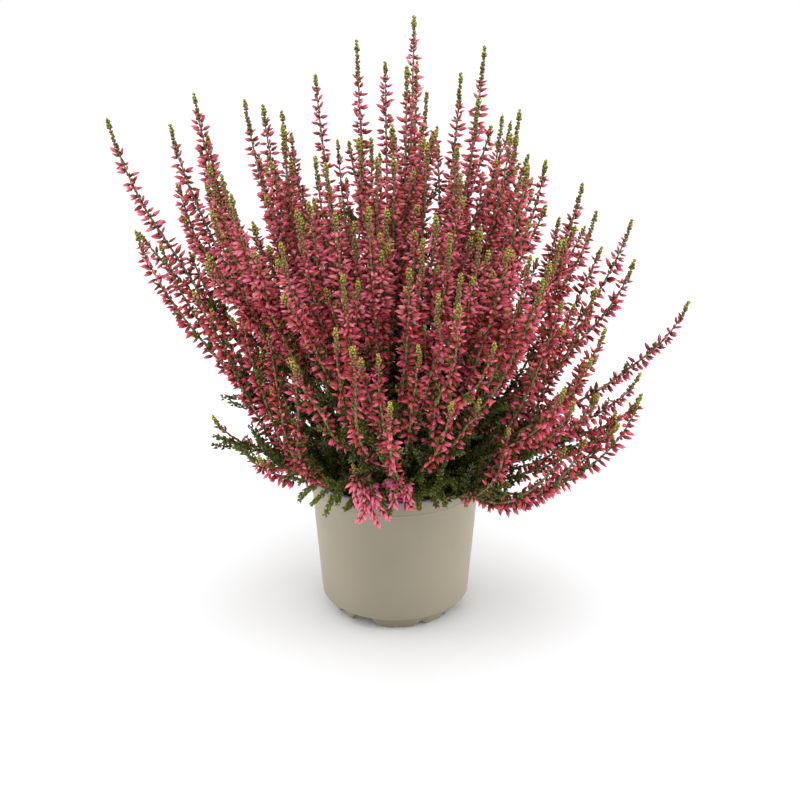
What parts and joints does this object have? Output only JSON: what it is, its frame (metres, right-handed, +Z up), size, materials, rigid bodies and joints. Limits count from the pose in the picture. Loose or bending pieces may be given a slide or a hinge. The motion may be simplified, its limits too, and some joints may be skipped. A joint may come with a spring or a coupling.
{
  "type": "potted heather",
  "caption": "Bushy potted heather: a fan of thin bud-covered spikes with green tips over dark scale-leaved shoots, in a plain tapered nursery pot.",
  "frame": {"origin": "on the pot's axis, in the plane of its feet", "axes": "+Z up along the pot's axis, -Y towards the front of the bush, +X to the viewer's right"},
  "size_m": [0.3461, 0.2611, 0.367],
  "materials": {
    "pot": "satin",
    "medium": "matte",
    "bud": "satin",
    "leaf": "satin",
    "stem": "matte"
  },
  "bodies": {
    "root": {"medium": "medium", "pot": "pot", "spray_01": "bud", "spray_02": "bud", "spray_03": "bud", "spray_04": "bud", "spray_05": "bud", "spray_06": "bud", "spray_07": "bud", "spray_08": "bud", "spray_09": "bud", "spray_10": "bud", "spray_11": "bud", "spray_12": "bud", "spray_13": "bud", "spray_14": "bud", "spray_15": "bud", "spray_16": "bud", "spray_17": "bud", "spray_18": "bud", "spray_19": "bud", "spray_20": "bud", "spray_21": "bud", "spray_22": "bud", "spray_23": "bud", "spray_24": "bud", "spray_25": "bud", "spray_26": "bud", "spray_27": "bud", "spray_28": "bud", "spray_29": "bud", "spray_30": "bud", "spray_31": "bud", "spray_32": "bud", "spray_33": "bud", "spray_34": "bud", "spray_35": "bud", "spray_36": "bud", "spray_37": "bud", "spray_38": "bud", "spray_39": "bud", "spray_40": "bud", "spray_41": "bud", "spray_42": "bud", "spray_43": "bud", "spray_44": "bud", "spray_45": "bud", "spray_46": "bud", "spray_47": "bud", "spray_48": "bud", "spray_49": "bud", "spray_50": "bud", "spray_51": "bud", "spray_52": "bud", "spray_53": "bud", "tuft_1": "leaf", "tuft_2": "leaf", "tuft_3": "leaf", "tuft_4": "leaf", "tuft_5": "leaf"}
  },
  "joints": []
}
